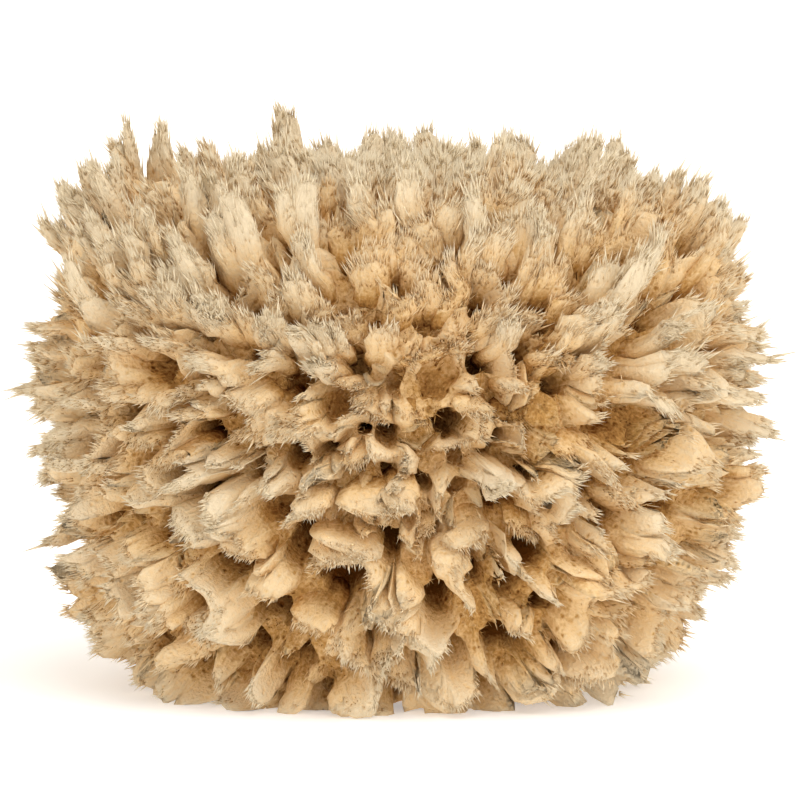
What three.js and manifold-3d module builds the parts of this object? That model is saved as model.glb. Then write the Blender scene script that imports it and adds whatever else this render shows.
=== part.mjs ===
// A natural bath sponge of the wool kind, grown as one piece and cut flat where it stood on the sea bed.
// Everything grows outwards from a heart inside the body. Channels open all over the skin, the walls between
// them are thin, and each wall rises into a ragged tuft wherever three channels meet.
// Millimetres, +Z up. The origin is on the cut base, straight below the heart.
import * as THREE from "three";
import { ConvexHull } from "three/addons/math/ConvexHull.js";
import { mergeVertices } from "three/addons/utils/BufferGeometryUtils.js";
import Module from "manifold-3d";

const wasm = await Module();
wasm.setup();

// Overall size, from tuft tip to tuft tip
const WIDTH = 150;
const DEPTH = 128;
const HEIGHT = 103.5;

// The heart that all growth runs out from, above the cut base
const HEART_HEIGHT = 61;
// How far the body would reach below the heart if it weren't cut off flat
const UNCUT_DROP = 79;

// Squareness of the outline: 2 is a plain ellipse, and more is boxier
const PLAN_SQUARENESS = 2.3;
const UPPER_SQUARENESS = 4.2;
const LOWER_SQUARENESS = 3;

// Low swellings and slack places that make the outline lopsided
const SWELLINGS = [
  { toward: [-0.86, -0.1, 0.5], rise: 5, spread: 0.26 },
  { toward: [0.74, 0, 0.66], rise: -7, spread: 0.36 },
  { toward: [0.72, -0.1, -0.68], rise: -4, spread: 0.3 },
  { toward: [0.2, -0.1, 0.97], rise: 2.5, spread: 0.4 },
  { toward: [-0.97, -0.2, -0.12], rise: 2.5, spread: 0.35 },
  { toward: [0.98, -0.1, -0.05], rise: 2, spread: 0.4 },
  { toward: [-0.1, 0.95, 0.3], rise: 3, spread: 0.5 },
];

// The grown skin: its full thickness, and how many channels open through it
const SKIN = 26;
const CHANNELS = 360;
// How far a channel strays from an even spacing, as a share of the heart's distance
const STRAY = 0.075;
// A channel's floor, as a share of the skin's thickness: the deepest and the shallowest
const DEEPEST = 0;
const SHALLOWEST = 0.5;
// A channel's flat floor reaches this share of the way to its walls
const FLOOR_SHARE = 0.5;
// Straight below the heart, within this angle, there are no channels: the sponge held on there
const FOOTING_ANGLE = 0.2;

// Tufts: the lowest and highest, as shares of the skin, and the dip between two of them
const LOWEST_TUFT = 0.6;
const HIGHEST_TUFT = 1;
const DIP = 0.76;
// Distance over which the tufts change height, and how far their tips curl sideways
const TUFT_SPACING = 11;
const CURL = 2.4;
// How strongly growth leans upwards above the heart and below it, and the height that this takes to build up
const LEAN = 1.1;
const LIFT = 0.4;
const LEAN_HEIGHT = 26;
// The growth parts in the middle of the front, where the tufts stay low
const PARTING = new THREE.Vector3(0.1, -1, 0.15).normalize();
const PARTING_DEPTH = 0.35;
const PARTING_SPREAD = 0.4;

const GOLDEN_ANGLE = Math.PI * (3 - Math.sqrt(5));
const heart = new THREE.Vector3(0, 0, HEART_HEIGHT);

// A repeatable number from -1 to 1 for item i and use k
function chance(i, k) {
  const x = Math.sin(i * 12.9898 + k * 78.233) * 43758.5453;
  return 2 * (x - Math.floor(x)) - 1;
}

// Smooth irregular waves from -1 to 1: sines whose phases are bent by other sines
function waves(x, y, z) {
  return (
    (Math.sin(x + 2.1 * Math.sin(0.7 * y + 1.3)) +
      Math.sin(1.1 * y + 2.3 * Math.sin(0.8 * z + 0.4)) +
      Math.sin(0.9 * z + 1.9 * Math.sin(1.2 * x + 2.2))) /
    3
  );
}

// Distance from the heart to the tuft tips in a direction: a rounded box with its swellings
function reach(toward) {
  const plan =
    Math.abs(toward.x / (WIDTH / 2)) ** PLAN_SQUARENESS + Math.abs(toward.y / (DEPTH / 2)) ** PLAN_SQUARENESS;
  const [vertical, squareness] =
    toward.z > 0 ? [HEIGHT - HEART_HEIGHT, UPPER_SQUARENESS] : [UNCUT_DROP, LOWER_SQUARENESS];
  const side = plan ** (squareness / PLAN_SQUARENESS) + Math.abs(toward.z / vertical) ** squareness;
  let distance = side ** (-1 / squareness);
  for (const swelling of SWELLINGS) {
    const angle = toward.angleTo(new THREE.Vector3(...swelling.toward).normalize());
    distance += swelling.rise * Math.exp(-((angle / swelling.spread) ** 2));
  }
  return distance;
}

// The way from a channel's floor to a point of a tuft: outwards, and leaning upwards more the further it has
// grown, strongly above the heart and less below it
function growthWay(toward, growth) {
  const height = toward.z * reach(toward);
  const lean = (height > 0 ? LEAN : LIFT) * Math.tanh(Math.abs(height) / LEAN_HEIGHT);
  return toward
    .clone()
    .add(new THREE.Vector3(0, 0, lean * growth))
    .normalize();
}

// Height of the wall crest in a direction, as a share of the skin's thickness
function crest(toward) {
  const at = toward.clone().multiplyScalar((Math.PI * reach(toward)) / TUFT_SPACING);
  const share = 0.5 + 0.5 * waves(at.x, at.y, at.z);
  const parted = 1 - PARTING_DEPTH * Math.exp(-((toward.angleTo(PARTING) / PARTING_SPREAD) ** 2));
  return (LOWEST_TUFT + (HIGHEST_TUFT - LOWEST_TUFT) * share) * parted;
}

// A point of the skin: out from the heart to the channel floors, then along the growth for a share of the
// skin, curling sideways near the tip
function place(toward, growth) {
  const distance = reach(toward);
  const at = toward.clone().multiplyScalar((distance * Math.PI) / TUFT_SPACING);
  const curl = new THREE.Vector3(
    waves(at.y, at.z, at.x + 4),
    waves(at.z, at.x + 7, at.y),
    waves(at.x + 2, at.y, at.z + 9),
  ).multiplyScalar(CURL * growth ** 2);
  return toward
    .clone()
    .multiplyScalar(distance - SKIN)
    .addScaledVector(growthWay(toward, growth), SKIN * growth)
    .add(curl)
    .add(heart);
}

// How far out a channel's floor lies, as a share of the skin's thickness
function floorGrowth(channel, i) {
  if (channel.angleTo(new THREE.Vector3(0, 0, -1)) < FOOTING_ANGLE) return HIGHEST_TUFT;
  return DEEPEST + (SHALLOWEST - DEEPEST) * (0.5 + 0.5 * chance(i, 4)) ** 2;
}

// Directions of the channels: a golden spiral over the ball, each one strayed a little
function channelDirections() {
  return Array.from({ length: CHANNELS }, (_, i) => {
    const up = 1 - (2 * i + 1) / CHANNELS;
    const out = Math.sqrt(1 - up * up);
    const turn = i * GOLDEN_ANGLE;
    return new THREE.Vector3(
      out * Math.cos(turn) + STRAY * chance(i, 1),
      out * Math.sin(turn) + STRAY * chance(i, 2),
      up + STRAY * chance(i, 3),
    ).normalize();
  });
}

// The whole skin, uncut. The hull of the channel directions joins each channel to its neighbours, so each
// hull face is a place where three channels meet, and each hull edge crosses a wall.
function grownGeometry() {
  const channels = channelDirections();
  const numberOf = new Map(channels.map((direction, i) => [direction, i]));
  const positions = [];
  const triangles = [];
  const made = new Map();

  // The number of a vertex, made the first time its name comes up
  function vertex(name, toward, growth) {
    if (!made.has(name)) {
      made.set(name, positions.length / 3);
      positions.push(...place(toward, growth).toArray());
    }
    return made.get(name);
  }

  const faces = new ConvexHull().setFromPoints(channels).faces;
  faces.forEach((face, i) => {
    face.number = i;
  });
  for (const face of faces) {
    let edge = face.edge;
    do {
      const channel = edge.tail().point;
      const neighbour = edge.head().point;
      const a = numberOf.get(channel);
      const b = numberOf.get(neighbour);
      const depth = floorGrowth(channel, a);
      const corners = [edge.twin.face, face];
      const tips = corners.map((f) => vertex(`tip ${f.number}`, f.normal, crest(f.normal)));
      const feet = corners.map((f) => {
        const toward = channel.clone().lerp(f.normal, FLOOR_SHARE).normalize();
        return vertex(`foot ${a} ${f.number}`, toward, depth);
      });
      const between = corners[0].normal.clone().add(corners[1].normal).normalize();
      const dip = vertex(`dip ${Math.min(a, b)} ${Math.max(a, b)}`, between, DIP * crest(between));
      const floor = vertex(`floor ${a}`, channel, depth);
      triangles.push(floor, feet[0], feet[1]);
      triangles.push(feet[0], tips[0], dip);
      triangles.push(feet[0], dip, feet[1]);
      triangles.push(feet[1], dip, tips[1]);
      edge = edge.next;
    } while (edge !== face.edge);
  }

  const geometry = new THREE.BufferGeometry();
  geometry.setAttribute("position", new THREE.Float32BufferAttribute(positions, 3));
  geometry.setIndex(triangles);
  return geometry;
}

// A closed geometry as a solid that can be cut
function solidOf(geometry) {
  const bare = geometry.clone();
  bare.deleteAttribute("normal");
  bare.deleteAttribute("uv");
  const merged = mergeVertices(bare);
  return new wasm.Manifold(
    new wasm.Mesh({
      numProp: 3,
      vertProperties: new Float32Array(merged.attributes.position.array),
      triVerts: new Uint32Array(merged.index.array),
    }),
  );
}

// The skin cut off flat at the height of the sea bed
function spongeGeometry() {
  const bed = new THREE.BoxGeometry(2 * WIDTH, 2 * WIDTH, HEIGHT).translate(0, 0, -HEIGHT / 2);
  const mesh = solidOf(grownGeometry()).subtract(solidOf(bed)).getMesh();
  const geometry = new THREE.BufferGeometry();
  geometry.setAttribute("position", new THREE.BufferAttribute(mesh.vertProperties, 3));
  geometry.setIndex(new THREE.BufferAttribute(mesh.triVerts, 1));
  geometry.computeVertexNormals();
  return geometry;
}

const spongeFibre = new THREE.MeshStandardMaterial({ color: 0xdcc396, roughness: 0.95, metalness: 0 });
const sponge = new THREE.Mesh(spongeGeometry(), spongeFibre);
sponge.name = "sponge";

const part = new THREE.Group();
part.add(sponge);

export default part;
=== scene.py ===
import math

import bmesh
import bpy
import numpy as np
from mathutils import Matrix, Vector


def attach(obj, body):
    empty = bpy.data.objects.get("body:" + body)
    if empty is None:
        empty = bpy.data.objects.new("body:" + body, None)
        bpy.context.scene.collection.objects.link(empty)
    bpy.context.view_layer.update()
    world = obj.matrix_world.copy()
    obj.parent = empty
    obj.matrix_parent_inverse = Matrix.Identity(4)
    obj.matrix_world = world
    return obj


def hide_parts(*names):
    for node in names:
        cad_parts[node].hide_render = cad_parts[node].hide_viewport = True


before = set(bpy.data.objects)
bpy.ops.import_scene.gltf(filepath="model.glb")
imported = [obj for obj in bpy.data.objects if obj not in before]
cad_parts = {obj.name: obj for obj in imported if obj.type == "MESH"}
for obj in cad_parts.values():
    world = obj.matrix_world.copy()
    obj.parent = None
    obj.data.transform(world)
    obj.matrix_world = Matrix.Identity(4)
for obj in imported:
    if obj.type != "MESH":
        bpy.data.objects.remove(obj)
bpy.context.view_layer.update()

bl_info = {
    "name": "Sea sponge",
    "version": (1, 0, 0),
    "blender": (4, 5, 0),
    "location": "3D View > Sidebar > Sponge",
    "description": "A natural bath sponge: channelled skin, ragged tufts with hairs, combs and felt",
    "category": "Add Mesh",
}

# The growth law, the same as the solid's, in metres
WIDTH = 0.150
DEPTH = 0.128
HEIGHT = 0.1035
HEART_HEIGHT = 0.061
UNCUT_DROP = 0.079
PLAN_SQUARENESS = 2.3
UPPER_SQUARENESS = 4.2
LOWER_SQUARENESS = 3
SWELLINGS = [
    ((-0.86, -0.1, 0.5), 0.005, 0.26),
    ((0.74, 0, 0.66), -0.007, 0.36),
    ((0.72, -0.1, -0.68), -0.004, 0.3),
    ((0.2, -0.1, 0.97), 0.0025, 0.4),
    ((-0.97, -0.2, -0.12), 0.0025, 0.35),
    ((0.98, -0.1, -0.05), 0.002, 0.4),
    ((-0.1, 0.95, 0.3), 0.003, 0.5),
]
SKIN = 0.026
CHANNELS = 360
STRAY = 0.075
DEEPEST = 0
SHALLOWEST = 0.5
FOOTING_ANGLE = 0.2
LOWEST_TUFT = 0.6
HIGHEST_TUFT = 1
TUFT_SPACING = 0.011
CURL = 0.0024
LEAN = 1.1
LIFT = 0.4
LEAN_HEIGHT = 0.026
# The lower growth's tips hang by this much
HANG = 0.003
PARTING = (0.1, -1, 0.15)
PARTING_DEPTH = 0.35
PARTING_SPREAD = 0.4
# The felt is paler there, as if it had grown this share of the skin's thickness further
PARTING_PALER = 0.1
# Waves that make all of the growth uneven: their height, and the length over which they change
COARSE_LUMPS = (0.0011, 0.0085)
FINE_LUMPS = (0.00045, 0.0037)
GOLDEN_ANGLE = math.pi * (3 - math.sqrt(5))

UP = np.array([0.0, 0.0, 1.0])
DOWN = -UP
# Keeps a division clear of zero
TINY = 1e-9
# Which of an item's repeatable numbers each use takes
STRAY_NUMBERS = (1, 2, 3)
DEPTH_NUMBER = 4
MOUTH_NUMBER = 5
SIDE_CHANNEL_NUMBER = 7
PLUME_NUMBER = 9
# Where each random draw starts
TUFT_SEED = 11
FIBRE_SEED = 23
HAIR_SEED = 31
# Smooth steps with height: their value at the heart's height, and how fast they climb from there
WEB_STEP = (0.1, 1.1)
SHALLOW_STEP = (0.35, 0.9)
LOW_STEP = (0.5, -2)

# Channels: a side channel's deepest floor, how much that changes, and the least depth of any bowl
SIDE_DEEPEST = 0.15
SIDE_CHANGE = 0.3
LEAST_BOWL = 0.16
# The share of the top's shallowness that they have where the growth parts
PARTING_SHALLOW = 0.8
# Mouths: how much narrower at the top, the widest as a share of the way to the wall, their waves, and
# the shares along a wall where their room is measured
NARROWER_ABOVE = 0.25
WIDEST_MOUTH = 0.87
MOUTH_WAVES = 30
ROOM_CHECKS = (0.25, 0.5, 0.75)
# How steeply a bowl's side rises: less is steeper
BOWL_POWER = 0.7
# Walls and corners stray sideways by this angle, with these waves of their direction
WALL_STRAY = 0.022
WALL_WAVES = 16
# Webs: their waves, where they begin to rise round the footing, and over what angle
WEB_WAVES = 9
FOOTING_EDGE = 0.15
FOOTING_BLEND = 0.1
# Lips: how fine their waves are and the share of each, the share of a lip where they are 0, how fast
# they change it, and how much lower the lips are at the top
LIP_WAVES = ((30, 1), (80, 0.6), (150, 0.28))
LIP_MIDDLE = 0.5
LIP_CHANGE = 1.7
LOWER_LIPS = 0.45
# Points of the skin that agree in this many decimals are one
MERGE_DIGITS = 8
# Growth over the web that colours the heart with the channel floors' painted shade
HEART_RISE = -0.5

# Tufts: where on a wall they stand, the bare angle round the footing, and their lumps
WALL_TUFTS = (0.35, 0.65)
BARE_ANGLE = 0.2
TUFT_LUMPS = (0.0003, 0.0026)
# Their height as a share of the crest's, the least over the web, and how far they start below it
TUFT_HEIGHTS = (0.72, 1.0)
LEAST_TUFT = 0.08
TUFT_ROOT = 0.18
# Where along a tuft its last ring stands, and how blunt it ends: more is blunter
LAST_RING = 0.95
BLUNTNESS = 10
# How far the broad way turns out of the level
TUFT_TWIST = 0.35
# Widths and thicknesses as shares of the middling ones, at the root, and their change towards the tip
TUFT_WIDTHS = (0.6, 1.3)
TUFT_THICKNESSES = (0.75, 1.2)
ROOT_WIDTH = 0.85
ROOT_THICKNESS = 1.25
TUFT_FLARES = (0.0, 0.5)
THINNING = 0.6
# A tuft's streaks are read on a circle of this radius, shrunk only within the second of its middle
GRAIN_RADIUS = 0.0028
LEAST_RADIUS = 0.0002

# Strands of three sides, kept this far above the floor
STRAND_SIDES = 3
FLOOR_CLEARANCE = 0.0008
# Hairs: how they crowd towards the tuft's tip, where its end begins, and how evenly they fill that
HAIR_CROWDING = 1.3
TUFT_END = 0.92
END_FILL = 0.4
# A hair's root, as a share of the tuft's width from its middle line
HAIR_ROOT = 0.46
# The lower hairs' droop and how much shorter they are
HAIR_DROOP = 0.12
SHORTER_BELOW = 0.35
# How far the hairs' bulk and lengths differ, what each has at least, and the growth added at its ends:
# the root's is taken off as painted shade between the hairs, the tip's makes it paler
BULK_SPREAD = 0.35
HAIR_LENGTHS = (0.6, 1.2)
LEAST_HAIR = 0.0003
HAIR_RISE = (-0.12, 0.14)
# Fibres: how high a fully combed lip is, how much of its side the comb takes, and the comb's splay
COMBED_LIP = 0.12
COMB_BAND = 0.09
COMB_SPLAY = 0.14
# How they crowd towards the crest, start inside the skin, and look ahead for the growth's way
FIBRE_CROWDING = 2
FIBRE_ROOT = 0.02
FIBRE_AHEAD = 0.04
# How far their lengths and widths differ, what each has at least, and the growth added at its ends
FIBRE_LENGTHS = (0.4, 1.4)
FIBRE_WIDTHS = (0.6, 1.3)
LEAST_FIBRE = 0.0005
FIBRE_RISE = (-0.04, 0.07)

# Textures of the finish: how fine they are and how detailed, and how sharp the pores' edges are
PATCHES = (70.0, 3.0)
STREAKS = (1500.0, 3.0)
FELT = (1300.0, 4.0)
PORES_FINE = 480.0
PORES_SHARP = 3.6
# Their shares in the tone, what is added for a hair, and what is taken off for the pores, whose dark
# middles are painted shade
PATCH_TONE = 0.5
STREAK_TONE = 0.22
FELT_TONE = 0.35
PORE_SHADE = 0.3
HAIR_TONE = 0.17
PORE_BALANCE = -0.27
# Tones of the channel floor, the wall, the tuft and the tip: the floor's and the wall's darker tones
# are painted shade down the channels
TONE_STOPS = (0.34, 0.53, 0.68, 1.0)
FIBRE_ROUGHNESS = 0.95
FIBRE_SHINE = 0.1
RELIEF_DEPTH = 0.0009
RELIEF_STRENGTH = 0.6

# The floor's steps round, out and up its sweep, and its finish
STEPS_ROUND = 96
STEPS_OUT = 5
SWEEP_STEPS = 8
FLOOR_COLOUR = (0.93, 0.93, 0.93, 1)
FLOOR_ROUGHNESS = 0.8
FLOOR_GLOW = 0.35
# The room's light, and the sun's strength, breadth and way
ROOM_COLOUR = (1, 0.925, 0.82, 1)
ROOM_STRENGTH = 0.72
SUN_STRENGTH = 1.5
SUN_BREADTH = math.radians(50)
SUN_WAY = (-0.35, 0.55, -1.0)
# The camera's film width in millimetres, and how far it sees
FILM_WIDTH = 36
SIGHT = 50

BODY = "root"
NODE = "sponge"


class SkinSizes(bpy.types.PropertyGroup):
    """Shape of the channels, of the webs between them and of the lips on the webs."""

    pieces: bpy.props.IntProperty(
        name="Pieces", description="Meshes that the skin is shared among", default=3, min=1
    )
    steps_along: bpy.props.IntProperty(
        name="Steps along a wall",
        description="Grid steps from one corner to the next",
        default=8,
        min=2,
    )
    steps_up: bpy.props.IntProperty(
        name="Steps up a wall",
        description="Grid steps from a channel's middle to the crest",
        default=8,
        min=4,
    )
    rim: bpy.props.FloatProperty(
        name="Rim", description="Share of those steps that make the channel's bowl", default=0.5
    )
    narrow_mouth: bpy.props.FloatProperty(
        name="Narrowest mouth",
        description="A channel's mouth, as a share of its room, at least",
        default=0.78,
    )
    wide_mouth: bpy.props.FloatProperty(
        name="Widest mouth",
        description="A channel's mouth, as a share of its room, at most",
        default=1.0,
    )
    shallow_above: bpy.props.FloatProperty(
        name="Shallow above",
        description="How much shallower the top's channels are, as a share of the skin",
        default=0.12,
    )
    deep_below: bpy.props.FloatProperty(
        name="Deep below",
        description="How much deeper the lower channels are, as a share of the skin",
        default=0.2,
    )
    uneven_mouth: bpy.props.FloatProperty(
        name="Uneven mouth",
        description="How far a mouth is from round, as a share of its radius",
        default=0.3,
    )
    web_above: bpy.props.FloatProperty(
        name="Web height above",
        description="Middling height of the webs at the top, as a share of the skin",
        default=0.3,
    )
    web_below: bpy.props.FloatProperty(
        name="Web height below",
        description="Middling height of the webs from the middle down",
        default=0.34,
    )
    web_change: bpy.props.FloatProperty(
        name="Web change",
        description="How far the webs' height changes, as a share of the skin",
        default=0.13,
    )
    lips: bpy.props.FloatProperty(
        name="Lips",
        description="Height of the highest lips, as a share of the tufts' rise",
        default=0.72,
    )
    side_channels: bpy.props.FloatProperty(
        name="Side channels",
        description="Share of the corners that a small channel opens in",
        default=0.28,
    )


class TuftSizes(bpy.types.PropertyGroup):
    """The blunt tufts that stand on the webs."""

    pieces: bpy.props.IntProperty(
        name="Pieces", description="Meshes that the tufts are shared among", default=2, min=1
    )
    rings: bpy.props.IntProperty(
        name="Rings", description="Rings of points along a tuft", default=7, min=3
    )
    sides: bpy.props.IntProperty(name="Sides", description="Points in a ring", default=8, min=5)
    at_corners: bpy.props.FloatProperty(
        name="Tufts at corners", description="Share of the corners that carry a tuft", default=0.85
    )
    on_walls: bpy.props.FloatProperty(
        name="Tufts on walls",
        description="Share of the walls that carry a tuft of their own",
        default=0.4,
    )
    fewer_below: bpy.props.FloatProperty(
        name="Fewer below",
        description="Share of those tufts that the lower part is without",
        default=0.72,
    )
    plumes: bpy.props.FloatProperty(
        name="Plumes",
        description="How much further the top's longest tufts reach, as a share of the skin",
        default=0.17,
    )
    width: bpy.props.FloatProperty(
        name="Width", description="Middling width of a tuft", default=0.0056, precision=5, unit="LENGTH"
    )
    thickness: bpy.props.FloatProperty(
        name="Thickness",
        description="Middling thickness of a tuft",
        default=0.0036,
        precision=5,
        unit="LENGTH",
    )
    stray: bpy.props.FloatProperty(
        name="Stray",
        description="How far a tuft leans out of its way, an angle at the heart",
        default=0.03,
    )
    spread_below: bpy.props.FloatProperty(
        name="Spread below",
        description="How much broader the lower tufts are, as a share of their width",
        default=0.7,
    )
    bend: bpy.props.FloatProperty(
        name="Bend",
        description="How far the lower tufts' tips bend down",
        default=0.0015,
        precision=5,
        unit="LENGTH",
    )


class FringeSizes(bpy.types.PropertyGroup):
    """The pointed hairs that every tuft ends in."""

    pieces: bpy.props.IntProperty(
        name="Pieces", description="Meshes that the hairs are shared among", default=4
    )
    per_tuft: bpy.props.IntProperty(
        name="Hairs on a tuft", description="Hairs on one tuft", default=142
    )
    lowest_above: bpy.props.FloatProperty(
        name="Lowest above",
        description="Where the lowest hairs stand on a high tuft, as a share of its length",
        default=0.6,
    )
    lowest_below: bpy.props.FloatProperty(
        name="Lowest below",
        description="Where the lowest hairs stand on a low tuft, as a share of its length",
        default=0.8,
    )
    width: bpy.props.FloatProperty(
        name="Width",
        description="Width of a middling hair at its root",
        default=0.00024,
        precision=5,
        unit="LENGTH",
    )
    length: bpy.props.FloatProperty(
        name="Length",
        description="Length of a middling hair",
        default=0.0019,
        precision=5,
        unit="LENGTH",
    )
    outwards: bpy.props.FloatProperty(
        name="Outwards", description="How strongly hairs stand away from the tuft's sides", default=0.14
    )
    splay: bpy.props.FloatProperty(
        name="Splay",
        description="How far a hair strays sideways, as a share of its length",
        default=0.1,
    )


class FibreSizes(bpy.types.PropertyGroup):
    """The combs of short fibres on the lips, and the fine felt on the webs and in the channels."""

    pieces: bpy.props.IntProperty(
        name="Pieces", description="Meshes that the fibres are shared among", default=2
    )
    per_piece: bpy.props.IntProperty(
        name="Fibres in a piece", description="Fibres in one mesh", default=44000
    )
    lowest: bpy.props.FloatProperty(
        name="Lowest",
        description="Where the lowest fibres stand, from a channel's middle 0 to the crest 1",
        default=0.3,
    )
    combed: bpy.props.FloatProperty(
        name="Combed",
        description="Share of the fibres that stand side by side on the highest lips",
        default=0.92,
    )
    comb_length: bpy.props.FloatProperty(
        name="Comb length", description="How much longer and thicker the combed fibres are", default=1.4
    )
    width: bpy.props.FloatProperty(
        name="Width",
        description="Width of a fibre at its root",
        default=0.0003,
        precision=5,
        unit="LENGTH",
    )
    length: bpy.props.FloatProperty(
        name="Length",
        description="Middling length of a fibre",
        default=0.0014,
        precision=5,
        unit="LENGTH",
    )
    splay: bpy.props.FloatProperty(
        name="Splay",
        description="How far a fibre strays sideways, as a share of its length",
        default=0.9,
    )


class SpongeColours(bpy.types.PropertyGroup):
    """Colours from the channels' floors to the tips; the darker floors and walls are painted shade."""

    # Painted shade: this dark brown stands in for the shade deep in the channels, warmed as if by light
    # scattered through the fibre
    pit_shade: bpy.props.FloatVectorProperty(
        name="Channel floor",
        description="Deep inside a channel",
        default=(0.16, 0.055, 0.007),
        size=3,
        subtype="COLOR",
    )
    # The felt's own colour, darkened by painted shade that stands in for the shade part-way down a
    # channel
    wall: bpy.props.FloatVectorProperty(
        name="Wall",
        description="Half-way up a wall",
        default=(0.55, 0.31, 0.10),
        size=3,
        subtype="COLOR",
    )
    tuft: bpy.props.FloatVectorProperty(
        name="Tuft", description="On the tufts", default=(0.83, 0.585, 0.305), size=3, subtype="COLOR"
    )
    tip: bpy.props.FloatVectorProperty(
        name="Tip",
        description="At the tufts' ends",
        default=(0.805, 0.67, 0.47),
        size=3,
        subtype="COLOR",
    )
    # Paler than the tip partly because the fringe's ends are paler, partly as painted light that stands
    # in for light shining through the thin hairs
    hair: bpy.props.FloatVectorProperty(
        name="Hair", description="On the fringe", default=(0.885, 0.76, 0.55), size=3, subtype="COLOR"
    )


class StageSizes(bpy.types.PropertyGroup):
    """Floor, light and camera."""

    floor: bpy.props.FloatProperty(
        name="Floor", description="Radius of the floor", default=4.0, unit="LENGTH"
    )
    backdrop: bpy.props.FloatProperty(
        name="Backdrop",
        description="Height that the floor sweeps up to all round",
        default=2.0,
        unit="LENGTH",
    )
    distance: bpy.props.FloatProperty(
        name="Camera distance",
        description="From the camera to the sponge's middle",
        default=0.95,
        unit="LENGTH",
    )
    elevation: bpy.props.FloatProperty(
        name="Camera elevation",
        description="Above the horizon",
        default=math.radians(5),
        subtype="ANGLE",
    )
    framed_width: bpy.props.FloatProperty(
        name="Framed width",
        description="Width that the picture takes in at the sponge",
        default=0.156,
        unit="LENGTH",
    )
    middle_height: bpy.props.FloatProperty(
        name="Middle height",
        description="Height that the camera looks at",
        default=0.0555,
        unit="LENGTH",
    )


def unit(vectors):
    """Each vector divided by its length."""
    return vectors / np.linalg.norm(vectors, axis=-1, keepdims=True)


def between(a, b):
    """Angle between two directions."""
    return np.arccos(np.clip(np.sum(a * b, axis=-1), -1, 1))


def smooth(x):
    """0 below 0, 1 above 1, and a smooth step between."""
    x = np.clip(x, 0, 1)
    return x * x * (3 - 2 * x)


def chance(i, k):
    """A repeatable number from -1 to 1 for item i and use k: the fraction left by a large sine."""
    x = np.sin(i * 12.9898 + k * 78.233) * 43758.5453
    return 2 * (x - np.floor(x)) - 1


def luck(i, k):
    """The same number, but from 0 to 1."""
    return 0.5 + 0.5 * chance(i, k)


def waves(x, y, z):
    """Smooth irregular waves from -1 to 1: the mean of three sines, each bent by another sine."""
    first = np.sin(x + 2.1 * np.sin(0.7 * y + 1.3))
    second = np.sin(1.1 * y + 2.3 * np.sin(0.8 * z + 0.4))
    third = np.sin(0.9 * z + 1.9 * np.sin(1.2 * x + 2.2))
    return (first + second + third) / 3


def wave_vector(at):
    """Three waves of the same place, read in turned orders, as a vector."""
    x, y, z = at[..., 0], at[..., 1], at[..., 2]
    return np.stack([waves(y, z, x + 4), waves(z, x + 7, y), waves(x + 2, y, z + 9)], axis=-1)


def reach(toward):
    """Distance from the heart to the tuft tips: the radius of a rounded box whose squareness differs
    above and below the heart, plus a bell-shaped rise round each swelling."""
    x, y, z = np.moveaxis(toward, -1, 0)
    plan = np.abs(x / (WIDTH / 2)) ** PLAN_SQUARENESS + np.abs(y / (DEPTH / 2)) ** PLAN_SQUARENESS
    vertical = np.where(z > 0, HEIGHT - HEART_HEIGHT, UNCUT_DROP)
    squareness = np.where(z > 0, UPPER_SQUARENESS, LOWER_SQUARENESS)
    side = plan ** (squareness / PLAN_SQUARENESS) + np.abs(z / vertical) ** squareness
    distance = side ** (-1 / squareness)
    for way, rise, spread in SWELLINGS:
        angle = np.arccos(np.clip(toward @ unit(np.array(way)), -1, 1))
        distance = distance + rise * np.exp(-((angle / spread) ** 2))
    return distance


def growth_way(toward, growth):
    """The way from a channel's floor to a point of a tuft: outwards, plus an upward lean that grows
    with the share of the skin and with the height from the heart, strong above it and less below it."""
    height = toward[..., 2] * reach(toward)
    lean = np.where(height > 0, LEAN, LIFT) * np.tanh(np.abs(height) / LEAN_HEIGHT)
    way = toward.copy()
    way[..., 2] += lean * growth
    return unit(way)


def parting(toward):
    """1 in the middle of the place where the growth parts, with a bell-shaped fall round it."""
    return np.exp(-((between(toward, unit(np.array(PARTING))) / PARTING_SPREAD) ** 2))


def crest(toward):
    """Height of a tuft, as a share of the skin: its waves, brought between the lowest and the highest,
    and lower where the growth parts."""
    at = toward * (math.pi * reach(toward) / TUFT_SPACING)[..., None]
    share = 0.5 + 0.5 * waves(at[..., 0], at[..., 1], at[..., 2])
    return (LOWEST_TUFT + (HIGHEST_TUFT - LOWEST_TUFT) * share) * (1 - PARTING_DEPTH * parting(toward))


def climb(toward, start, rate):
    """A smooth step with the height of a direction: start at the heart's height, plus rate times the
    height."""
    return smooth(start + rate * toward[..., 2])


def lowness(toward):
    """1 well below the heart and 0 well above it, with a smooth step between."""
    return climb(toward, *LOW_STEP)


def ripples(point, height, length):
    """Waves of the place itself, with their height and the length over which they change."""
    return height * wave_vector(point * (math.pi / length))


def lumps(point):
    """Small unevenness of everything grown: two sizes of ripples."""
    return ripples(point, *COARSE_LUMPS) + ripples(point, *FINE_LUMPS)


def place(toward, growth):
    """A point of the growth: out from the heart to the channel floors, then along the growth's way for
    a share of the skin, curling sideways and hanging down below with the square of that share. It never
    passes below the flat cut."""
    distance = reach(toward)
    way = growth_way(toward, growth)
    floor_height = HEART_HEIGHT + toward[..., 2] * (distance - SKIN)
    fall = np.minimum(way[..., 2] * SKIN, -TINY)
    growth = np.minimum(growth, np.where(way[..., 2] < 0, -floor_height / fall, np.inf))
    curl = wave_vector(toward * (distance * math.pi / TUFT_SPACING)[..., None]) * CURL
    point = toward * (distance - SKIN)[..., None] + way * (SKIN * growth)[..., None]
    point = point + curl * (growth**2)[..., None]
    point[..., 2] += HEART_HEIGHT - HANG * lowness(toward) * growth**2
    point = point + lumps(point)
    point[..., 2] = np.maximum(point[..., 2], 0)
    return point


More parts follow.
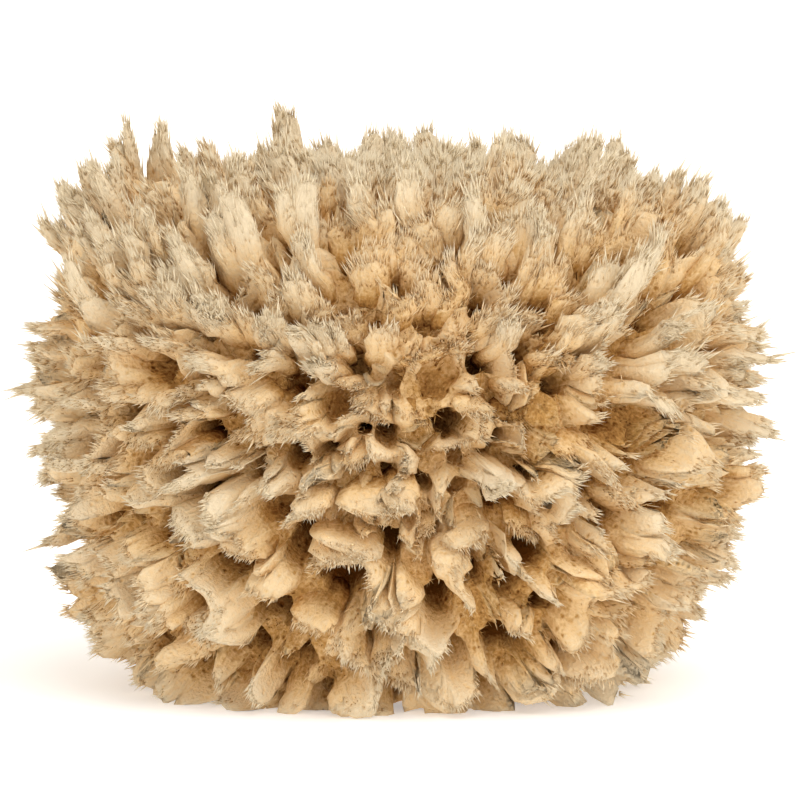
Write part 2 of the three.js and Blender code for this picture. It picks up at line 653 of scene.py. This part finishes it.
def channel_directions():
    """Directions of the channels: a golden spiral over the ball, each one strayed a little."""
    i = np.arange(CHANNELS)
    up = 1 - (2 * i + 1) / CHANNELS
    out = np.sqrt(1 - up**2)
    turn = i * GOLDEN_ANGLE
    spiral = np.stack([out * np.cos(turn), out * np.sin(turn), up], axis=1)
    stray = np.stack([chance(i, k) for k in STRAY_NUMBERS], axis=1)
    return unit(spiral + STRAY * stray)


class ChannelNet:
    """The channels, the corners where three of them meet, and the sides of the walls between them.

    The hull of the channel directions joins each channel to its neighbours. Each hull face's normal is
    a corner, and each directed hull edge is one side of a wall: it faces its channel, and runs from one
    corner to the next.
    """

    def __init__(self, channels):
        self.channels = channels
        mesh = bpy.data.meshes.new("channel_net")
        mesh.from_pydata(channels, [], [])
        bm = bmesh.new()
        bm.from_mesh(mesh)
        bmesh.ops.convex_hull(bm, input=bm.verts)
        bm.to_mesh(mesh)
        bm.free()
        corners_of = np.empty(len(mesh.loops), np.int64)
        mesh.loops.foreach_get("vertex_index", corners_of)
        faces = corners_of.reshape(-1, 3)
        bpy.data.meshes.remove(mesh)
        a, b, c = (channels[faces[:, k]] for k in range(3))
        normals = np.cross(b - a, c - a)
        inward = np.einsum("ij,ij->i", normals, a) < 0
        faces[inward] = faces[inward][:, ::-1]
        normals[inward] *= -1
        self.corners = unit(normals)
        start = faces.ravel()
        end = np.roll(faces, -1, axis=1).ravel()
        face = np.repeat(np.arange(len(faces)), 3)
        key = start * len(channels) + end
        order = np.argsort(key)
        twin = order[np.searchsorted(key[order], end * len(channels) + start)]
        self.channel = start
        self.neighbour = end
        self.corner_from = face[twin]
        self.corner_to = face


def grown_net(sizes):
    """The net of the solid's channels and of smaller ones, which open in some of the corners. Each
    channel gets its floor's height, less deep at the top and where the growth parts, and its mouth's
    radius, an angle: a share of the room up to its nearest wall."""
    main = channel_directions()
    corners = ChannelNet(main).corners
    small = corners[luck(np.arange(len(corners)), SIDE_CHANNEL_NUMBER) < sizes.side_channels]
    net = ChannelNet(np.concatenate([main, small]))
    i = np.arange(len(net.channels))
    fill = luck(i, DEPTH_NUMBER)
    depth = DEEPEST + (SHALLOWEST - DEEPEST) * fill**2
    depth = np.where(i < len(main), depth, SIDE_DEEPEST + SIDE_CHANGE * fill)
    above = climb(net.channels, *SHALLOW_STEP)
    shallow = np.maximum(above, PARTING_SHALLOW * parting(net.channels))
    depth = depth + sizes.shallow_above * shallow - sizes.deep_below * (1 - shallow)
    depth = np.clip(depth, 0, web_height(net.channels, sizes) - LEAST_BOWL)
    net.floor = np.where(between(net.channels, DOWN) < FOOTING_ANGLE, HIGHEST_TUFT, depth)
    side = np.arange(len(net.channel))
    room = np.full(len(net.channels), np.inf)
    for share in ROOM_CHECKS:
        line = wall_line(net, side, np.full(len(side), share))
        np.minimum.at(room, net.channel, between(net.channels[net.channel], line))
    widening = sizes.wide_mouth - sizes.narrow_mouth
    openness = sizes.narrow_mouth + widening * luck(i, MOUTH_NUMBER)
    net.mouth = room * openness * (1 - NARROWER_ABOVE * above)
    return net


def strayed(toward):
    """Direction moved sideways by waves of itself, so that both sides of a wall agree."""
    return unit(toward + WALL_STRAY * wave_vector(toward * WALL_WAVES))


def wall_line(net, side, share):
    """Direction of the crest at a share of the way along a wall's side: the straight line between its
    corners, strayed."""
    share = share[..., None]
    line = net.corners[net.corner_from[side]] * (1 - share) + net.corners[net.corner_to[side]] * share
    return strayed(unit(line))


def web_height(line, sizes):
    """Height of the felted web that the tufts stand on: slow waves round a middling height that falls
    towards the top. Straight below the heart, where the sponge held on, it is the full height."""
    above = climb(line, *WEB_STEP)
    middling = sizes.web_below + (sizes.web_above - sizes.web_below) * above
    web = middling + sizes.web_change * wave_vector(line * WEB_WAVES)[..., 1]
    held = smooth((FOOTING_ANGLE + FOOTING_EDGE - between(line, DOWN)) / FOOTING_BLEND)
    return web * (1 - held) + HIGHEST_TUFT * held


def crest_height(line, sizes):
    """Height of a wall's crest: the web's, plus lips that come and go with three sizes of waves, lower
    at the top."""
    web = web_height(line, sizes)
    lobes = sum(share * wave_vector(line * fine)[..., k] for k, (fine, share) in enumerate(LIP_WAVES))
    lips = sizes.lips * (1 - LOWER_LIPS * climb(line, *WEB_STEP))
    return web + lips * np.maximum(crest(line) - web, 0) * smooth(LIP_MIDDLE + LIP_CHANGE * lobes)


def wall(net, side, share, up, sizes):
    """Direction, growth and growth over the web of a point of a wall's side. share runs along it, and
    up runs from the channel's middle over the rim of its mouth to the crest. Up to the rim the profile
    is a deep bowl: the distance from the middle goes with a power of the sine of a quarter turn and the
    height with one less its cosine. Past it the profile is a blunt finger: the height goes with the
    sine of the next quarter turn, and the distance goes on to the crest line with one less its
    cosine."""
    line = wall_line(net, side, share)
    channel = net.channel[side]
    middle = net.channels[channel]
    whole = between(middle, line)
    turn = np.clip(up / sizes.rim, 0, 1) * math.pi / 2
    past = np.clip((up - sizes.rim) / (1 - sizes.rim), 0, 1) * math.pi / 2
    uneven = 1 + sizes.uneven_mouth * wave_vector(line * MOUTH_WAVES)[..., 0]
    mouth = np.minimum(net.mouth[channel] * uneven, WIDEST_MOUTH * whole)
    distance = mouth * np.sin(turn) ** BOWL_POWER + (whole - mouth) * (1 - np.cos(past))
    part = (distance / whole)[..., None]
    toward = unit(middle * (1 - part) + line * part)
    floor = net.floor[channel]
    web = web_height(line, sizes)
    top = crest_height(line, sizes)
    growth = floor + (web - floor) * (1 - np.cos(turn)) + (top - web) * np.sin(past)
    return toward, growth, growth - web


def link(name, points, corner_lists, attributes):
    """A mesh object from whole arrays of points and of triangles and quads, smooth shaded, with its
    attributes."""
    mesh = bpy.data.meshes.new(name)
    mesh.vertices.add(len(points))
    mesh.vertices.foreach_set("co", points.astype(np.float32).ravel())
    counts = np.concatenate([np.full(len(corners), corners.shape[1]) for corners in corner_lists])
    mesh.loops.add(int(counts.sum()))
    numbers = np.concatenate([corners.ravel() for corners in corner_lists])
    mesh.loops.foreach_set("vertex_index", numbers.astype(np.int32))
    mesh.polygons.add(len(counts))
    mesh.polygons.foreach_set("loop_start", (np.cumsum(counts) - counts).astype(np.int32))
    mesh.update(calc_edges=True)
    mesh.validate()
    mesh.polygons.foreach_set("use_smooth", np.ones(len(mesh.polygons), bool))
    for label, values in attributes.items():
        kind, field = ("FLOAT_VECTOR", "vector") if values.ndim == 2 else ("FLOAT", "value")
        attribute = mesh.attributes.new(label, kind, "POINT")
        attribute.data.foreach_set(field, values.astype(np.float32).ravel())
    obj = bpy.data.objects.new(name, mesh)
    bpy.context.scene.collection.objects.link(obj)
    return obj


def dress(pieces, material):
    """Gives the pieces their finish and ties them to the frame as the sponge."""
    for obj in pieces:
        obj.data.materials.append(material)
        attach(obj, BODY)
        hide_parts(NODE)


def faces_from(*corners):
    """Faces from arrays of numbers: their first corners, their second corners, and so on."""
    return np.stack(corners, axis=-1).reshape(-1, len(corners))


def grow_skin(net, sizes):
    """The skin, shared among a few closed pieces round the vertical. Each wall's side is a grid of
    shares along it and steps up it. Its colour follows the growth over the web, darker down the
    channels as painted shade and paler where the growth parts. Equal points are merged, and each piece
    is closed inside by triangles from its edge to the heart."""
    side = np.arange(len(net.channel))[:, None, None]
    share = np.linspace(0, 1, sizes.steps_along + 1)[None, :, None]
    up = np.linspace(0, 1, sizes.steps_up + 1)[None, None, :]
    side, share, up = np.broadcast_arrays(side, share, up)
    toward, growth, rise = wall(net, side, share, up, sizes)
    rise = rise + PARTING_PALER * parting(toward)
    points = place(toward, growth).reshape(-1, 3)
    rounded = np.round(points, MERGE_DIGITS)
    _, first, number = np.unique(rounded, axis=0, return_index=True, return_inverse=True)
    grid = number.reshape(side.shape)
    outline = (toward * reach(toward)[..., None]).reshape(-1, 3)
    points = np.append(points[first], [[0, 0, HEART_HEIGHT]], axis=0)
    rise = np.append(rise.reshape(-1)[first], HEART_RISE)
    outline = np.append(outline[first], [[0, 0, 0]], axis=0)
    round_about = np.arctan2(net.channels[:, 1], net.channels[:, 0]) / (2 * math.pi) + 0.5
    sector = np.minimum((round_about * sizes.pieces).astype(int), sizes.pieces - 1)
    made = []
    for piece in range(sizes.pieces):
        chosen = sector == piece
        own = grid[chosen[net.channel]]
        a, b, c, d = own[:, :-1, :-1], own[:, 1:, :-1], own[:, 1:, 1:], own[:, :-1, 1:]
        fans = faces_from(a[..., 0], d[..., 0], c[..., 0])
        quads = faces_from(a[..., 1:], d[..., 1:], c[..., 1:], b[..., 1:])
        edge = grid[chosen[net.channel] & ~chosen[net.neighbour]][:, :, -1]
        heart = np.full(edge[:, 1:].shape, len(points) - 1)
        closing = faces_from(edge[:, 1:], edge[:, :-1], heart)
        used = np.concatenate([f.ravel() for f in (fans, quads, closing)])
        kept, renamed = np.unique(used, return_inverse=True)
        counts = np.cumsum([fans.size, quads.size])
        faces = [f.reshape(-1, n) for f, n in zip(np.split(renamed, counts), (3, 4, 3))]
        faces[0] = np.concatenate([faces[0], faces.pop()])
        attributes = {"rise": rise[kept], "grain": outline[kept]}
        made.append(link(f"skin_{piece + 1}", points[kept], faces, attributes))
    return made


def across(vectors, along):
    """The part of each vector that lies across another one, made one long."""
    return unit(vectors - along * np.sum(vectors * along, axis=-1, keepdims=True))


def carried_profile(paths, broad, widths, thicknesses, sides):
    """Points and faces of many tapering strands. Ring j of a strand is its path's point j plus an oval:
    the cosine of the turn times half the width along the broad way, plus the sine times half the
    thickness across both the path and the broad way. The last path point is the tip, and the root is
    closed by one flat face."""
    count, rings = paths.shape[0], paths.shape[1] - 1
    tangent = unit(np.diff(paths, axis=1))
    broad = across(broad[:, None, :], tangent)
    thin = np.cross(tangent, broad)
    turn = 2 * math.pi * np.arange(sides) / sides
    oval = (
        (broad * widths[..., None] / 2)[:, :, None, :] * np.cos(turn)[:, None]
        + (thin * thicknesses[..., None] / 2)[:, :, None, :] * np.sin(turn)[:, None]
    )
    ring_points = (paths[:, :-1, None, :] + oval).reshape(count, -1, 3)
    points = np.concatenate([ring_points, paths[:, -1:, :]], axis=1).reshape(-1, 3)
    each = rings * sides + 1
    base = (np.arange(count) * each)[:, None, None]
    ring = np.arange(rings)[None, :, None] * sides
    k = np.arange(sides)[None, None, :]
    here = base + ring + k
    beside = base + ring + (k + 1) % sides
    quads = faces_from(here[:, :-1], beside[:, :-1], beside[:, 1:], here[:, 1:])
    apex = np.broadcast_to(base[:, 0] + rings * sides, here[:, -1].shape)
    tips = faces_from(here[:, -1], beside[:, -1], apex)
    roots = here[:, 0, ::-1]
    faces = [f for f in (quads, tips, roots) if len(f)]
    return points, faces, each


def spread_over_rings(values, sides):
    """Values of each path point, given to every point of its ring and to the tip."""
    rings = np.repeat(values[:, :-1], sides, axis=1)
    whole = np.concatenate([rings, values[:, -1:]], axis=1)
    return whole.reshape(-1, *values.shape[2:])


def split_link(name, points, faces, each, attributes, parts):
    """Shares the strands among several meshes, so that each stays small enough."""
    count = len(points) // each
    made = []
    for part in range(parts):
        low = count * part // parts * each
        high = count * (part + 1) // parts * each
        own = [f[(f[:, 0] >= low) & (f[:, 0] < high)] - low for f in faces]
        kept = {label: values[low:high] for label, values in attributes.items()}
        made.append(link(f"{name}_{part + 1}", points[low:high], own, kept))
    return made


def strand_rise(rise, length, added):
    """Growth over the web at a strand's root and tip, which colours it: that of the place it stands on,
    plus what is added at each end and, at the tip, its own length as a share of the skin."""
    return np.stack([rise + added[0], rise + added[1] + length / SKIN], axis=1)


def grow_strands(name, root, tip, widths, over_web, pieces, rng):
    """Straight tapering strands with three sides, from their roots to their tips, kept clear of the
    floor. Each takes its grain from its own root."""
    keep = np.minimum(root[:, 2], tip[:, 2]) > FLOOR_CLEARANCE
    paths = np.stack([root, tip], axis=1)[keep]
    broad = rng.normal(0, 1, (len(paths), 3))
    points, faces, each = carried_profile(paths, broad, widths[keep], widths[keep], STRAND_SIDES)
    own_root = np.repeat(paths[:, :1], 2, axis=1)
    attributes = {
        "rise": spread_over_rings(over_web[keep], STRAND_SIDES),
        "grain": spread_over_rings(own_root, STRAND_SIDES),
    }
    return split_link(name, points, faces, each, attributes, pieces)


def grow_fibres(net, skin, sizes):
    """Short straight strands that start just inside a wall's side. Some stand side by side on the
    crests like a comb, and the others stray far from the growth's way as felt. They are shared out by
    the walls' lengths, and combed where the lips are high."""
    rng = np.random.default_rng(FIBRE_SEED)
    count = sizes.pieces * sizes.per_piece
    wall_length = np.linalg.norm(net.corners[net.corner_to] - net.corners[net.corner_from], axis=1)
    side = rng.choice(len(net.channel), count, p=wall_length / wall_length.sum())
    share = rng.uniform(0, 1, count)
    line = wall_line(net, side, share)
    lip = np.clip((crest_height(line, skin) - web_height(line, skin)) / COMBED_LIP, 0, 1)
    combed = rng.uniform(0, 1, count) < sizes.combed * lip
    band = np.where(combed, COMB_BAND, 1 - sizes.lowest)
    up = 1 - band * rng.uniform(0, 1, count) ** FIBRE_CROWDING
    toward, start, rise = wall(net, side, share, up, skin)
    bulk = np.where(combed, sizes.comb_length, 1)
    length = sizes.length * rng.uniform(*FIBRE_LENGTHS, count) * bulk
    splay = np.where(combed, COMB_SPLAY, sizes.splay)[:, None]
    root = place(toward, start - FIBRE_ROOT)
    ahead = unit(place(toward, start + FIBRE_AHEAD) - root)
    way = unit(ahead + splay * rng.normal(0, 1, (count, 3)))
    tip = root + way * (length + LEAST_FIBRE)[:, None]
    widths = sizes.width * (rng.uniform(*FIBRE_WIDTHS, count) * bulk)[:, None]
    over_web = strand_rise(rise, length, FIBRE_RISE)
    return grow_strands("fibres", root, tip, widths, over_web, sizes.pieces, rng)


class Tufts:
    """Where every tuft stands and how it runs.

    They stand at most corners and on some of the walls, fewer below. A tuft's path keeps to the growth,
    from under the web to a share of the crest's height, and a few at the top reach further as plumes.
    Its direction strays in proportion to the growth and, below the heart, its tip bends down with the
    square of the way along it. Its section is an oval that broadens and flattens towards a blunt end.
    """

    def __init__(self, net, skin, sizes):
        rng = np.random.default_rng(TUFT_SEED)
        walls = np.flatnonzero(net.channel < net.neighbour)
        on_walls = wall_line(net, walls, rng.uniform(*WALL_TUFTS, len(walls)))
        at_corners = strayed(net.corners)
        toward = np.concatenate([at_corners, on_walls])
        wanted = np.repeat([sizes.at_corners, sizes.on_walls], [len(at_corners), len(on_walls)])
        wanted = wanted * (1 - sizes.fewer_below * lowness(toward))
        toward = toward[rng.uniform(0, 1, len(toward)) < wanted]
        toward = toward[between(toward, DOWN) > FOOTING_ANGLE + BARE_ANGLE]
        count = len(toward)
        along = np.append(np.linspace(0, LAST_RING, sizes.rings), 1)
        web = web_height(toward, skin)
        self.below = lowness(toward)
        plume = sizes.plumes * luck(np.arange(count), PLUME_NUMBER) ** 2 * (1 - self.below)
        top = crest(toward) * rng.uniform(*TUFT_HEIGHTS, count) + plume
        top = np.maximum(top, web + LEAST_TUFT)
        low = web - TUFT_ROOT
        growth = low[:, None] + (top - low)[:, None] * along
        stray = rng.normal(0, sizes.stray, (count, 3))
        leaning = unit(toward[:, None] + stray[:, None] * growth[..., None])
        self.paths = place(leaning, growth)
        self.paths[..., 2] -= (sizes.bend * self.below)[:, None] * along**2
        self.paths[..., 2] = np.maximum(self.paths[..., 2], 0)
        self.toward = toward
        self.rise = growth - web[:, None]
        self.along = along
        self.broad = np.cross(UP, toward) + rng.normal(0, TUFT_TWIST, (count, 3))
        blunt = np.sqrt(1 - along[:-1] ** BLUNTNESS)
        broader = (1 + sizes.spread_below * self.below)[:, None]
        flare = rng.uniform(*TUFT_FLARES, (count, 1))
        self.widths = sizes.width * rng.uniform(*TUFT_WIDTHS, (count, 1)) * broader
        self.widths = self.widths * (ROOT_WIDTH + flare * along[:-1]) * blunt
        self.thicknesses = sizes.thickness * rng.uniform(*TUFT_THICKNESSES, (count, 1))
        self.thicknesses = self.thicknesses * (ROOT_THICKNESS - THINNING * along[:-1]) * blunt


def grow_tufts(net, skin, sizes):
    """The tufts: each is an oval carried along its path, made uneven by ripples."""
    tufts = Tufts(net, skin, sizes)
    ovals = (tufts.broad, tufts.widths, tufts.thicknesses)
    points, faces, each = carried_profile(tufts.paths, *ovals, sizes.sides)
    points = points + ripples(points, *TUFT_LUMPS)
    points[:, 2] = np.maximum(points[:, 2], 0)
    outline = np.repeat((tufts.toward * reach(tufts.toward)[:, None]), each, axis=0)
    away = points - spread_over_rings(tufts.paths, sizes.sides)
    distance = np.maximum(np.linalg.norm(away, axis=1, keepdims=True), LEAST_RADIUS)
    grain = outline + GRAIN_RADIUS * away / distance
    attributes = {"rise": spread_over_rings(tufts.rise, sizes.sides), "grain": grain}
    return split_link("tufts", points, faces, each, attributes, sizes.pieces)


def between_rings(values, tuft, step, part):
    """A tuft's value at a part of the way from a ring to the next. It stays the same past the last."""
    after = np.minimum(step + 1, values.shape[1] - 1)
    return values[tuft, step] * (1 - part) + values[tuft, after] * part


def grow_fringe(net, skin, tuft_sizes, sizes):
    """The pointed hairs. Each starts on a tuft's oval, at a share of the way along it and a turn round
    it, or within the oval at the tuft's end. It runs the tuft's way, a little outwards, strayed to one
    side, and a little down on the lower tufts."""
    tufts = Tufts(net, skin, tuft_sizes)
    rng = np.random.default_rng(HAIR_SEED)
    tuft = np.repeat(np.arange(len(tufts.toward)), sizes.per_tuft)
    count = len(tuft)
    below = tufts.below[tuft]
    lowest = sizes.lowest_above + (sizes.lowest_below - sizes.lowest_above) * below
    share = 1 - (1 - lowest) * rng.uniform(0, 1, count) ** HAIR_CROWDING
    step = np.clip(np.searchsorted(tufts.along, share) - 1, 0, len(tufts.along) - 2)
    part = (share - tufts.along[step]) / (tufts.along[step + 1] - tufts.along[step])
    here, there = tufts.paths[tuft, step], tufts.paths[tuft, step + 1]
    middle = here + (there - here) * part[:, None]
    ahead = unit(there - here)
    broad = across(tufts.broad[tuft], ahead)
    thin = np.cross(ahead, broad)
    width = between_rings(tufts.widths, tuft, step, part)
    thickness = between_rings(tufts.thicknesses, tuft, step, part)
    turn = rng.uniform(0, 2 * math.pi, count)
    side = broad * (np.cos(turn) * width)[:, None] + thin * (np.sin(turn) * thickness)[:, None]
    inside = np.where(share > TUFT_END, rng.uniform(0, 1, count) ** END_FILL, 1)
    root = middle + side * (HAIR_ROOT * inside)[:, None]
    outwards = unit(side) * (sizes.outwards * inside)[:, None]
    way = ahead + outwards + rng.normal(0, sizes.splay, (count, 3))
    way[:, 2] -= HAIR_DROOP * below
    bulk = np.exp(rng.normal(0, BULK_SPREAD, count))
    length = sizes.length * bulk * rng.uniform(*HAIR_LENGTHS, count) * (1 - SHORTER_BELOW * below)
    tip = root + unit(way) * (length + LEAST_HAIR)[:, None]
    # The roots' darker tone is painted shade between the hairs
    over_web = strand_rise(between_rings(tufts.rise, tuft, step, part), length, HAIR_RISE)
    widths = (sizes.width * bulk)[:, None]
    return grow_strands("fringe", root, tip, widths, over_web, sizes.pieces, rng)


def node(tree, kind, settings=None, inputs=None):
    """A node of a kind with its settings, and its sockets either set or linked."""
    made = tree.nodes.new(kind)
    for name, value in (settings or {}).items():
        setattr(made, name, value)
    for socket, value in (inputs or {}).items():
        if isinstance(value, bpy.types.NodeSocket):
            tree.links.new(value, made.inputs[socket])
        else:
            made.inputs[socket].default_value = value
    return made


def noise(tree, vector, scale, detail):
    """A noise of a vector, from 0 to 1."""
    inputs = {"Vector": vector, "Scale": scale, "Detail": detail}
    return node(tree, "ShaderNodeTexNoise", inputs=inputs).outputs["Fac"]


def plus(tree, rest, value, share):
    """The rest plus a share of a value."""
    inputs = {0: value, 1: share, 2: rest}
    return node(tree, "ShaderNodeMath", {"operation": "MULTIPLY_ADD"}, inputs).outputs[0]


def fibre_material(name, colours, tip, streaked=0.0, felted=0.0, pored=0.0):
    """Felted fibre: coloured by growth from dark brown deep in the channels, which is painted shade, to
    the tip's colour, mottled, and rough with streaks along the growth, felt and small pores, in the
    given shares; the pores' darker middles are painted shade too. A hair has no shares, because it
    shows no relief."""
    material = bpy.data.materials.new(name)
    material.use_nodes = True
    tree = material.node_tree
    tree.nodes.clear()
    rise = node(tree, "ShaderNodeAttribute", {"attribute_name": "rise"}).outputs["Fac"]
    grain = node(tree, "ShaderNodeAttribute", {"attribute_name": "grain"}).outputs["Vector"]
    where = node(tree, "ShaderNodeTexCoord").outputs["Object"]
    patches = noise(tree, where, *PATCHES)
    streaks = noise(tree, grain, *STREAKS)
    textures = [(patches, PATCH_TONE), (streaks, STREAK_TONE)]
    shift = HAIR_TONE
    if felted:
        felt = noise(tree, where, *FELT)
        cells = node(tree, "ShaderNodeTexVoronoi", inputs={"Vector": where, "Scale": PORES_FINE})
        capped = {"operation": "MULTIPLY", "use_clamp": True}
        edges = {0: cells.outputs["Distance"], 1: PORES_SHARP}
        pores = node(tree, "ShaderNodeMath", capped, edges).outputs[0]
        # The pores' darker middles are painted shade, standing in for small holes that are not modelled
        textures += [(felt, FELT_TONE), (pores, PORE_SHADE * pored)]
        shift = PORE_BALANCE * pored
    tone = rise
    for texture, share in textures:
        tone = plus(tree, tone, texture, share)
    tone = plus(tree, shift, tone, 1.0)
    ramp = node(tree, "ShaderNodeValToRGB", inputs={0: tone})
    stops = ramp.color_ramp.elements
    stops[0].position = TONE_STOPS[0]
    stops[1].position = TONE_STOPS[-1]
    for at in TONE_STOPS[1:-1]:
        stops.new(at)
    for stop, colour in zip(stops, (colours.pit_shade, colours.wall, colours.tuft, tip)):
        stop.color = (*colour, 1)
    finish = {
        "Base Color": ramp.outputs["Color"],
        "Roughness": FIBRE_ROUGHNESS,
        "Specular IOR Level": FIBRE_SHINE,
    }
    shader = node(tree, "ShaderNodeBsdfPrincipled", inputs=finish)
    if felted:
        rough = plus(tree, 0.0, felt, felted)
        rough = plus(tree, rough, streaks, streaked)
        rough = plus(tree, rough, pores, pored)
        relief = {"Height": rough, "Distance": RELIEF_DEPTH, "Strength": RELIEF_STRENGTH}
        bump = node(tree, "ShaderNodeBump", inputs=relief)
        tree.links.new(bump.outputs["Normal"], shader.inputs["Normal"])
    output = node(tree, "ShaderNodeOutputMaterial")
    tree.links.new(shader.outputs["BSDF"], output.inputs["Surface"])
    return material


def lay_floor(sizes):
    """A round floor that sweeps up into a backdrop all round. Turn runs round it and step outwards: the
    radius grows evenly to the foot of the sweep and then by the sine of a quarter turn, and the height
    by one less its cosine."""
    turn = np.linspace(0, 2 * math.pi, STEPS_ROUND + 1)[:-1, None]
    out = np.linspace(0, 1, STEPS_OUT + 1)[1:]
    sweep = np.linspace(0, math.pi / 2, SWEEP_STEPS + 1)[1:]
    radius = np.concatenate([out * sizes.floor, sizes.floor + sizes.backdrop * np.sin(sweep)])
    height = np.concatenate([0 * out, sizes.backdrop * (1 - np.cos(sweep))])
    rings = np.stack([radius * np.cos(turn), radius * np.sin(turn), height + 0 * turn], axis=-1)
    points = np.append(rings.reshape(-1, 3), [[0, 0, 0]], axis=0)
    number = np.arange(rings[..., 0].size).reshape(rings.shape[:2])
    after = np.roll(number, -1, axis=0)
    quads = faces_from(number[:, :-1], number[:, 1:], after[:, 1:], after[:, :-1])
    middle = np.full(len(number), len(points) - 1)
    fans = faces_from(middle, number[:, 0], after[:, 0])
    return link("floor", points, [fans, quads], {})


def floor_material():
    """Plain white studio floor that glows a little, so that its shadows stay pale."""
    material = bpy.data.materials.new("floor_white")
    material.use_nodes = True
    shader = material.node_tree.nodes["Principled BSDF"]
    shader.inputs["Roughness"].default_value = FLOOR_ROUGHNESS
    shader.inputs["Base Color"].default_value = FLOOR_COLOUR
    shader.inputs["Emission Color"].default_value = (1, 1, 1, 1)
    shader.inputs["Emission Strength"].default_value = FLOOR_GLOW
    return material


class SPONGE_OT_skin(bpy.types.Operator):
    """Grow the skin with its channels, webs and lips"""

    bl_idname = "sponge.skin"
    bl_label = "Grow the skin"

    def execute(self, context):
        scene = context.scene
        colours = scene.sponge_colours
        shares = {"streaked": 0.8, "felted": 1.0, "pored": 0.7}
        material = fibre_material("felted_fibre", colours, colours.tip, **shares)
        net = grown_net(scene.sponge_skin)
        dress(grow_skin(net, scene.sponge_skin), material)
        return {"FINISHED"}


class SPONGE_OT_tufts(bpy.types.Operator):
    """Stand the blunt tufts on the webs"""

    bl_idname = "sponge.tufts"
    bl_label = "Grow the tufts"

    def execute(self, context):
        scene = context.scene
        colours = scene.sponge_colours
        shares = {"streaked": 1.4, "felted": 0.8, "pored": 0.25}
        material = fibre_material("tuft_fibre", colours, colours.tip, **shares)
        net = grown_net(scene.sponge_skin)
        dress(grow_tufts(net, scene.sponge_skin, scene.sponge_tufts), material)
        return {"FINISHED"}


class SPONGE_OT_fringe(bpy.types.Operator):
    """Fray every tuft's end into pointed hairs"""

    bl_idname = "sponge.fringe"
    bl_label = "Fray the tufts"

    def execute(self, context):
        scene = context.scene
        colours = scene.sponge_colours
        material = fibre_material("fringe_fibre", colours, colours.hair)
        net = grown_net(scene.sponge_skin)
        hairs = grow_fringe(net, scene.sponge_skin, scene.sponge_tufts, scene.sponge_fringe)
        dress(hairs, material)
        return {"FINISHED"}


class SPONGE_OT_fibres(bpy.types.Operator):
    """Set the combs on the lips and the felt on the webs"""

    bl_idname = "sponge.fibres"
    bl_label = "Grow the fibres"

    def execute(self, context):
        scene = context.scene
        colours = scene.sponge_colours
        material = fibre_material("fine_fibre", colours, colours.hair)
        net = grown_net(scene.sponge_skin)
        dress(grow_fibres(net, scene.sponge_skin, scene.sponge_fibres), material)
        return {"FINISHED"}


class SPONGE_OT_stage(bpy.types.Operator):
    """Lay the floor, hang the lights and set up the camera"""

    bl_idname = "sponge.stage"
    bl_label = "Set the stage"

    def execute(self, context):
        scene = context.scene
        sizes = scene.sponge_stage
        floor = lay_floor(sizes)
        floor.data.materials.append(floor_material())

        world = bpy.data.worlds.new("soft_room")
        world.use_nodes = True
        world.node_tree.nodes["Background"].inputs["Color"].default_value = ROOM_COLOUR
        world.node_tree.nodes["Background"].inputs["Strength"].default_value = ROOM_STRENGTH
        scene.world = world
        key = bpy.data.lights.new("key", "SUN")
        key.energy = SUN_STRENGTH
        key.angle = SUN_BREADTH
        key_object = bpy.data.objects.new("key", key)
        key_object.rotation_euler = Vector(SUN_WAY).to_track_quat("-Z", "Y").to_euler()
        scene.collection.objects.link(key_object)

        camera = bpy.data.cameras.new("camera")
        camera.sensor_width = FILM_WIDTH
        camera.lens = FILM_WIDTH * sizes.distance / sizes.framed_width
        holder = bpy.data.objects.new("camera", camera)
        back = Vector((0, -math.cos(sizes.elevation), math.sin(sizes.elevation)))
        holder.location = Vector((0, 0, sizes.middle_height)) + back * sizes.distance
        holder.rotation_euler = (-back).to_track_quat("-Z", "Y").to_euler()
        camera.clip_end = SIGHT
        scene.collection.objects.link(holder)
        scene.camera = holder
        scene.view_settings.view_transform = "Standard"
        return {"FINISHED"}


class SPONGE_PT_panel(bpy.types.Panel):
    """Lists the pieces of the sponge in the sidebar"""

    bl_label = "Sea sponge"
    bl_idname = "SPONGE_PT_panel"
    bl_space_type = "VIEW_3D"
    bl_region_type = "UI"
    bl_category = "Sponge"

    def draw(self, context):
        for operator in OPERATORS:
            self.layout.operator(operator.bl_idname)
        for name in GROUPS:
            box = self.layout.box()
            group = getattr(context.scene, name)
            for prop in group.bl_rna.properties:
                if prop.identifier not in ("rna_type", "name"):
                    box.prop(group, prop.identifier)


OPERATORS = [SPONGE_OT_skin, SPONGE_OT_tufts, SPONGE_OT_fringe, SPONGE_OT_fibres, SPONGE_OT_stage]
GROUPS = {
    "sponge_skin": SkinSizes,
    "sponge_tufts": TuftSizes,
    "sponge_fringe": FringeSizes,
    "sponge_fibres": FibreSizes,
    "sponge_colours": SpongeColours,
    "sponge_stage": StageSizes,
}


def register():
    for name, group in GROUPS.items():
        bpy.utils.register_class(group)
        setattr(bpy.types.Scene, name, bpy.props.PointerProperty(type=group))
    for operator in OPERATORS:
        bpy.utils.register_class(operator)
    bpy.utils.register_class(SPONGE_PT_panel)


def unregister():
    bpy.utils.unregister_class(SPONGE_PT_panel)
    for operator in reversed(OPERATORS):
        bpy.utils.unregister_class(operator)
    for name, group in reversed(GROUPS.items()):
        delattr(bpy.types.Scene, name)
        bpy.utils.unregister_class(group)


def main():
    """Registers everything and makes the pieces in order."""
    register()
    bpy.ops.sponge.skin()
    bpy.ops.sponge.tufts()
    bpy.ops.sponge.fringe()
    bpy.ops.sponge.fibres()
    bpy.ops.sponge.stage()
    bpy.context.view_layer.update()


if __name__ == "__main__":
    main()
